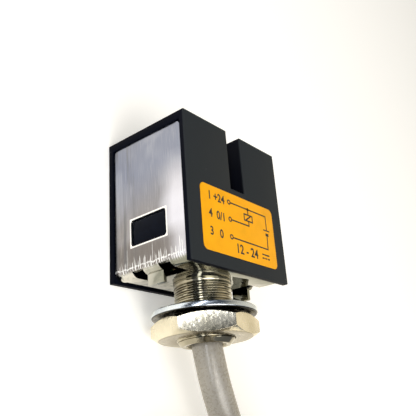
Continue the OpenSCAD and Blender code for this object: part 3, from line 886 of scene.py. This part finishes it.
class SENSOR_OT_bracket(bpy.types.Operator):
    """Finish the bent stainless bracket and its two tabs"""
    bl_idname = "sensor.bracket"
    bl_label = "Bracket"

    def execute(self, context):
        def lip(p):
            """The press rolled the edge round the front window most."""
            near = p.x < -14 and abs(p.z - AXIS_Z) < 5.2 and abs(p.y - WINDOW_Y) < 3.2
            return 1.0 if near else 0.4
        softened("bracket", "bracket_sheet", 0.3, stainless_sheet(), pick=lip)
        return {"FINISHED"}


class SENSOR_OT_window(bpy.types.Operator):
    """Set the smoked indicator window behind the front plate"""
    bl_idname = "sensor.window"
    bl_label = "Indicator window"

    def execute(self, context):
        softened("indicator_window", "window_pane", 0.2, smoked_window())
        return {"FINISHED"}


def ribbon(work, points, width, low, high, closed=False):
    """Adds a flat printed line with mitred corners through points (x, y), in millimetres."""
    line = [Vector(p) for p in points]
    count = len(line)
    edges = []
    for i, p in enumerate(line):
        before = line[i - 1] if closed or i > 0 else None
        after = line[(i + 1) % count] if closed or i < count - 1 else None
        d1 = (p - before).normalized() if before is not None else (after - p).normalized()
        d2 = (after - p).normalized() if after is not None else d1
        n1, n2 = Vector((-d1.y, d1.x)), Vector((-d2.y, d2.x))
        mitre = (n1 + n2) / max(0.3, (n1 + n2).length_squared) * width
        edges.append((p + mitre, p - mitre))
    rows = [[work.verts.new((a.x * MM, a.y * MM, z * MM)) for a, z in
             ((left, high), (right, high), (right, low), (left, low))] for left, right in edges]
    for i in range(count if closed else count - 1):
        a, b = rows[i], rows[(i + 1) % count]
        for k in range(4):
            work.faces.new((a[k], b[k], b[(k + 1) % 4], a[(k + 1) % 4]))
    if not closed:
        work.faces.new(rows[0])
        work.faces.new(rows[-1][::-1])


def printed_word(words, left, base, height, stretch):
    """Numerals in the plain built-in face, as a thin mesh on the label."""
    curve = bpy.data.curves.new("print", "FONT")
    curve.body = words
    curve.size = height / 0.7 * MM
    curve.extrude = 0.01 * MM
    curve.offset = 0.06 * MM
    text = linked("print", curve)
    mesh = settled(text, Matrix.Translation(Vector((left, base + BASE_Y, LABEL_TOP + 0.005)) * MM)
                   @ Matrix.Diagonal((stretch, 1, 1, 1)))
    bpy.data.objects.remove(text)
    bpy.data.curves.remove(curve)
    return mesh


# The printed wires, the load and the supply, from the label side's stem end and middle
WIRES = (
    [(-2.9, 14.07), (9.3, 14.07), (9.3, 10.95)],
    [(-2.9, 10.39), (2.95, 10.39), (2.95, 11.5)],
    [(-2.9, 6.62), (9.1, 6.55), (9.25, 9.6)],
    [(2.95, 14.07), (2.95, 12.8)],
    [(2.1, 11.6), (3.75, 12.65)],
    # Sign of direct current: a full line over a broken one
    [(6.7, 5.1), (9.3, 5.1)],
    [(6.7, 4.3), (7.4, 4.3)],
    [(7.65, 4.3), (8.35, 4.3)],
    [(8.6, 4.3), (9.3, 4.3)],
)
LOAD = [(1.55, 11.45), (4.3, 11.45), (4.3, 12.8), (1.55, 12.8)]
CELL_PLATES = (([(8.1, 10.8), (10.3, 10.8)], 0.3), ([(8.75, 9.85), (9.85, 9.85)], 0.6))
TERMINAL_X, TERMINAL_Y = -3.32, (14.07, 10.39, 6.68)
# Each line of print: its signs, its left end, its foot, its height and its stretch
PRINT = (("1 +24", -9.9, 13.2, 1.7, 0.9), ("4  0/1", -9.9, 9.5, 1.7, 0.9),
         ("3   0", -9.9, 5.8, 1.7, 0.9), ("12 - 24", -2.2, 3.75, 1.9, 0.95))


class SENSOR_OT_label(bpy.types.Operator):
    """Lay the amber label and print its wiring diagram"""
    bl_idname = "sensor.label"
    bl_label = "Label"

    def execute(self, context):
        softened("label", "label_film", 0.05, label_film())
        work = bmesh.new()

        def line(points, wide, closed=False):
            ribbon(work, [(x, y + BASE_Y) for x, y in points], wide, LABEL_TOP - 0.01,
                   LABEL_TOP + 0.015, closed)

        for y in TERMINAL_Y:
            line(circle(0.42, 32, TERMINAL_X, y), 0.28, True)
        for points in WIRES:
            line(points, sizes().stroke)
        line(LOAD, sizes().stroke, True)
        for points, wide in CELL_PLATES:
            line(points, wide)
        # A dot where the load's wire meets the supply's, in rings
        for k in range(6):
            line(circle(0.05 + 0.05 * k, 32, *WIRES[3][0]), 0.1, True)
        for printed in PRINT:
            mesh = printed_word(*printed)
            work.from_mesh(mesh)
            bpy.data.meshes.remove(mesh)
        joined = bpy.data.meshes.new("label_print")
        work.to_mesh(joined)
        work.free()
        joined.materials.append(plain_moulding("Screen ink", colours().ink, 0.5))
        for face in joined.polygons:
            face.material_index = 0
        piece = linked("label_print", joined)
        outward(piece)
        place_piece(piece, "sensor", "label")
        return {"FINISHED"}


# ---------------------------------------------------------------- stem, nut and washer

def thread_tree():
    """Geometry tree: sinks a helical groove into the outside of a shaft along Y."""
    tree, add, given = new_tree("Thread", Pitch=0.001, Depth=0.0006, Crest=0.00597, To=-0.009,
                                Centre=0.011, Bore=0.0048)
    x, y, z = add("SeparateXYZ", add("GeometryNodeInputPosition")).node.outputs
    up = add("Math SUBTRACT", z, given["Centre"])
    radius = add("Math SQRT", add("Math ADD", add("Math MULTIPLY", x, x),
                                  add("Math MULTIPLY", up, up)))
    # A right-handed helix: the groove climbs one pitch along +Y for each turn about +Y
    phase = add("Math FRACT", add("Math SUBTRACT", add("Math DIVIDE", y, given["Pitch"]),
                                  add("Math DIVIDE", add("Math ARCTAN2", x, up), TURN)))
    wave = add("Math ABSOLUTE", add("Math SUBTRACT", add("Math MULTIPLY", phase, 2.0), 1.0))
    flank = add("MapRange", wave, 0.15, 0.7, 1.0, 0.0, interpolation_type="SMOOTHSTEP")
    # The groove fades out over one pitch where it starts behind the plate
    fade = add("MapRange", y, given["To"], add("Math SUBTRACT", given["To"], given["Pitch"]))
    groove = add("Math MULTIPLY", add("Math MULTIPLY", flank, fade), given["Depth"])
    wanted = add("Math MINIMUM", radius, add("Math SUBTRACT", given["Crest"], groove))
    factor = add("Math DIVIDE", wanted, add("Math MAXIMUM", radius, 1e-6))
    # Only the outside moves in, and the bore stays
    outside = add("Math GREATER_THAN", radius, given["Bore"])
    factor = add("Math ADD", add("Math MULTIPLY", outside, factor),
                 add("Math SUBTRACT", 1.0, outside))
    moved = add("CombineXYZ", add("Math MULTIPLY", x, factor), y,
                add("Math ADD", add("Math MULTIPLY", up, factor), given["Centre"]))
    end_tree(add, given, add("GeometryNodeSetPosition", {"Geometry": given["Geometry"],
                                                         "Position": moved}))
    return tree


def turned(name, profile, segments, material):
    """A closed solid turned about the stem's axis from a closed outline of (radius, y)."""
    angles = [TURN * k / segments for k in range(segments)]
    n = len(profile)
    verts = [(r * math.sin(a), y, AXIS_Z + r * math.cos(a)) for a in angles for r, y in profile]
    faces = [[k * n + i, k * n + (i + 1) % n, (k + 1) % segments * n + (i + 1) % n,
              (k + 1) % segments * n + i] for k in range(segments) for i in range(n)]
    piece = mesh_piece(name, verts, faces, material)
    outward(piece)
    return piece


class SENSOR_OT_stem(bpy.types.Operator):
    """Cut the stem's fine thread and chamfer its nose"""
    bl_idname = "sensor.stem"
    bl_label = "Stem"

    def execute(self, context):
        nickel = plated("Nickel-plated brass", "#b5af9b", "#827b6b", 0.09, 2600)
        pitch = sizes().thread_pitch
        rows, bore = 14, 3.9
        nose, chamfer = 1.2, 1.05
        start = BASE_Y + 0.6
        count = round((start - (STEM_LOW + nose)) / pitch * rows)
        outline = [(STEM_R, STEM_HIGH), (STEM_R, start + 0.2)]
        outline += [(STEM_R, start - k * pitch / rows) for k in range(count + 1)]
        outline += [(STEM_R - chamfer * k / 16, STEM_LOW + nose - nose * k / 16)
                    for k in range(1, 17)]
        outline += [(bore + 0.25, STEM_LOW), (bore, STEM_LOW + 0.25), (bore, STEM_HIGH)]
        stem = turned("stem_shaft", outline, 144, nickel)
        from_nodes(stem, thread_tree(), {
            "Pitch": pitch * MM, "Depth": sizes().thread_depth * MM, "To": (BASE_Y - 0.1) * MM,
            "Centre": AXIS_Z * MM, "Material": nickel})
        stem.data.set_sharp_from_angle(angle=math.radians(50))
        place_piece(stem, "sensor", "stem", "stem")
        refinish("stem_locknut", nickel)
        return {"FINISHED"}


class SENSOR_OT_nut(bpy.types.Operator):
    """Finish the hexagon nut: chamfered corners and a countersunk bore"""
    bl_idname = "sensor.nut"
    bl_label = "Hexagon nut"

    def execute(self, context):
        # Painted shade: the nut's lower face is painted darker
        nickel = plated("Nickel-plated nut", "#ebe4cf", "#cdc5ac", 0.2, 1600, pitting=3.0,
                        under=(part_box("hex_nut")[0][1] / MM + 0.05, "#9c9481"))
        softened("hex_nut", "nut_body", 0.34, nickel, "nut",
                 lambda p: 1.0 if math.hypot(p.x, p.z - AXIS_Z) < STEM_R + 0.4 else 0.4)
        return {"FINISHED"}


class SENSOR_OT_washer(bpy.types.Operator):
    """Finish the stamped washer with its rolled edges"""
    bl_idname = "sensor.washer"
    bl_label = "Washer"

    def execute(self, context):
        # Painted shade: the washer's lower face is painted nearly black, for the shadow over the
        # nut
        zinc = plated("Zinc-plated steel", "#dde5ec", "#b9c3cf", 0.2, 2200,
                      under=(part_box("flat_washer")[0][1] / MM + 0.16, "#2b2a26"))
        softened("flat_washer", "washer_ring", 0.35, zinc, "washer")
        return {"FINISHED"}


# ---------------------------------------------------------------- inside

# What each piece inside is made of: the material, its colour, its roughness and its IOR
FINISHES = {
    "circuit_board": ("Solder-masked laminate", "#17603a", 0.3, 1.5),
    "emitter": ("Water-clear lamp epoxy", "#aebbd0", 0.1, 1.54),
    "receiver": ("Smoked lamp epoxy", "#1c1a28", 0.12, 1.54),
    "indicator_led": ("Red lamp epoxy", "#c3261e", 0.15, 1.54),
    "light_guide": ("Clear acrylic guide", "#dfe2de", 0.1, 1.49),
    "filter_capacitor": ("Sleeved aluminium can", "#243056", 0.3, 1.5),
    "chip_capacitors": ("Fired ceramic chip", "#a5885a", 0.45, 1.5),
    "chip_resistors": ("Glazed resistor chip", "#17191d", 0.3, 1.5),
    "potting_sleeve": ("Potting resin", "#141413", 0.4, 1.5),
    "core_brown": ("Inner core brown", "#6b3a20", 0.4, 1.5),
    "core_black": ("Inner core black", "#17181a", 0.4, 1.5),
    "core_blue": ("Inner core blue", "#23509e", 0.4, 1.5),
}
PACKAGES = ("regulator", "comparator", "output_transistor", "protection_diode")


class SENSOR_OT_inside(bpy.types.Operator):
    """Give the circuit board and everything on it their finishes"""
    bl_idname = "sensor.inside"
    bl_label = "Electronics"

    def execute(self, context):
        for node, (name, code, roughness, ior) in FINISHES.items():
            # The laminate's weave is wider than a moulded skin's grain
            grain = 1200 if node == "circuit_board" else 2500
            refinish(node, plain_moulding(name, code, roughness, grain, IOR=ior))
        epoxy = plain_moulding("Moulded epoxy package", "#1b1c1e", 0.5)
        for node in PACKAGES:
            refinish(node, epoxy)
        lens = plain_moulding("Infrared-pass lens", "#1d070d", 0.12, IOR=1.58)
        softened("emitter_lens", "emitter_lens_dome", 0.25, lens)
        softened("receiver_lens", "receiver_lens_dome", 0.25, lens)
        return {"FINISHED"}


# ---------------------------------------------------------------- panel and registration

class SENSOR_PT_panel(bpy.types.Panel):
    """Lists the settings and the pieces"""
    bl_idname = "SENSOR_PT_panel"
    bl_label = "Fork Sensor"
    bl_space_type = "VIEW_3D"
    bl_region_type = "UI"
    bl_category = "Sensor"

    def draw(self, context):
        for settings in (colours(), sizes()):
            for name in settings.bl_rna.properties.keys():
                if name not in ("rna_type", "name"):
                    self.layout.prop(settings, name)
        for made in STEPS:
            self.layout.operator(made.bl_idname)


STEPS = (SENSOR_OT_stage, SENSOR_OT_leads, SENSOR_OT_ties, SENSOR_OT_cable, SENSOR_OT_housing,
         SENSOR_OT_bracket, SENSOR_OT_window, SENSOR_OT_label, SENSOR_OT_stem, SENSOR_OT_nut,
         SENSOR_OT_washer, SENSOR_OT_inside)
CLASSES = (SensorColours, SensorSizes, *STEPS, SENSOR_PT_panel)


def register():
    for made in CLASSES:
        bpy.utils.register_class(made)
    bpy.types.Scene.sensor_colours = PointerProperty(type=SensorColours)
    bpy.types.Scene.sensor_sizes = PointerProperty(type=SensorSizes)


def unregister():
    del bpy.types.Scene.sensor_sizes
    del bpy.types.Scene.sensor_colours
    for made in reversed(CLASSES):
        bpy.utils.unregister_class(made)


def main():
    register()
    for made in STEPS:
        group, name = made.bl_idname.split(".")
        getattr(getattr(bpy.ops, group), name)()


if __name__ == "__main__":
    main()
